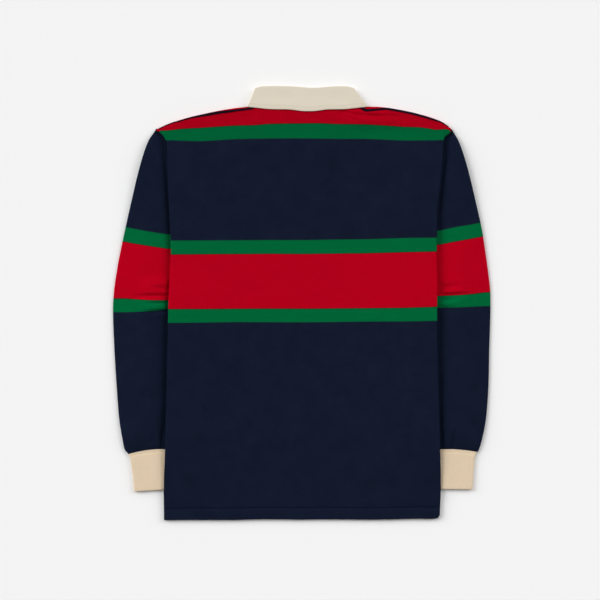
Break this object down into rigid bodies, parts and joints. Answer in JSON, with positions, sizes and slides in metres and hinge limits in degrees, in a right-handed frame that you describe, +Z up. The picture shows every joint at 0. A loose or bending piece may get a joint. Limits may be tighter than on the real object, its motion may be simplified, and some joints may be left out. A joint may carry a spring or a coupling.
{
  "type": "rugby shirt",
  "caption": "Long-sleeved rugby shirt in striped knitted jersey with a twill collar and rib cuffs, laid flat on its front with its back uppermost.",
  "frame": {"origin": "middle of the shirt's bounding box on the surface it lies on", "axes": "+Y from the hem to the collar, +Z up out of the shirt's back, +X to the wearer's right"},
  "size_m": [0.6738, 0.7738, 0.0088],
  "materials": {
    "striped_jersey": "heavy cotton jersey, navy with knitted green and red stripes, matt",
    "striped_sleeve_jersey": "heavy cotton jersey, navy with knitted green and red stripes, matt",
    "cuff_rib": "rib knit, matt",
    "navy_tape": "woven cotton tape, matt",
    "collar_twill": "cotton twill, matt",
    "button_rubber": "moulded, satin"
  },
  "bodies": {
    "root": {"back": "striped_jersey", "front": "striped_jersey", "sleeve_left": "striped_sleeve_jersey", "sleeve_right": "striped_sleeve_jersey", "cuff_left": "cuff_rib", "cuff_right": "cuff_rib", "shoulder_tape_left": "navy_tape", "shoulder_tape_right": "navy_tape", "collar": "collar_twill", "placket": "collar_twill", "placket_under": "collar_twill", "button_1": "button_rubber", "button_2": "button_rubber", "button_3": "button_rubber"}
  },
  "joints": []
}
